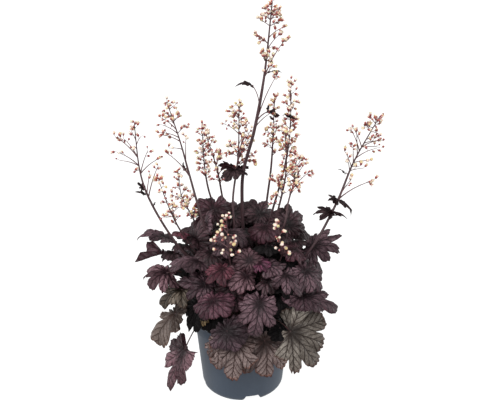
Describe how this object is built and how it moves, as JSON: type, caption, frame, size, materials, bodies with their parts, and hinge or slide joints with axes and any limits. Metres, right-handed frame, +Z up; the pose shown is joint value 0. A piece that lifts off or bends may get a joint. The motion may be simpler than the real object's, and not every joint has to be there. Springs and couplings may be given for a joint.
{
  "type": "potted heuchera",
  "caption": "Heuchera with dark lobed leaves and thin flower stems, growing in a round tapered nursery pot.",
  "frame": {"origin": "centre of the pot's flat underside", "axes": "+Z up along the pot's axis, -Y towards the plant's front, +X towards its right as seen from the front"},
  "size_m": [0.4475, 0.3444, 0.7152],
  "materials": {
    "pot": "satin",
    "soil": "matte",
    "crown": "matte",
    "leaf": "satin",
    "back_leaf": "satin",
    "flower_stem": "satin"
  },
  "bodies": {
    "root": {"pot": "pot", "potting_soil": "soil", "crown": "crown", "leaf_01": "leaf", "leaf_02": "leaf", "leaf_03": "leaf", "leaf_04": "leaf", "leaf_05": "leaf", "leaf_06": "leaf", "leaf_07": "leaf", "leaf_08": "leaf", "leaf_09": "leaf", "leaf_10": "leaf", "leaf_11": "leaf", "leaf_12": "leaf", "leaf_13": "leaf", "leaf_15": "leaf", "leaf_16": "leaf", "leaf_17": "leaf", "leaf_18": "leaf", "leaf_20": "leaf", "leaf_21": "leaf", "leaf_22": "leaf", "leaf_23": "leaf", "leaf_24": "leaf", "leaf_25": "leaf", "leaf_26": "leaf", "leaf_27": "leaf", "leaf_28": "leaf", "leaf_29": "leaf", "leaf_30": "leaf", "leaf_31": "leaf", "leaf_32": "leaf", "leaf_33": "leaf", "leaf_34": "leaf", "leaf_35": "leaf", "leaf_36": "leaf", "leaf_37": "leaf", "back_shoot_1": "back_leaf", "back_shoot_2": "back_leaf", "back_shoot_3": "back_leaf", "back_shoot_4": "back_leaf", "back_shoot_5": "back_leaf", "back_shoot_6": "back_leaf", "back_shoot_7": "back_leaf", "flower_stem_01": "flower_stem", "flower_stem_02": "flower_stem", "flower_stem_03": "flower_stem", "flower_stem_04": "flower_stem", "flower_stem_05": "flower_stem", "flower_stem_06": "flower_stem", "flower_stem_07": "flower_stem", "flower_stem_08": "flower_stem", "flower_stem_09": "flower_stem", "flower_stem_10": "flower_stem", "flower_stem_11": "flower_stem", "flower_stem_12": "flower_stem", "flower_stem_13": "flower_stem", "flower_stem_14": "flower_stem", "flower_stem_15": "flower_stem"}
  },
  "joints": []
}
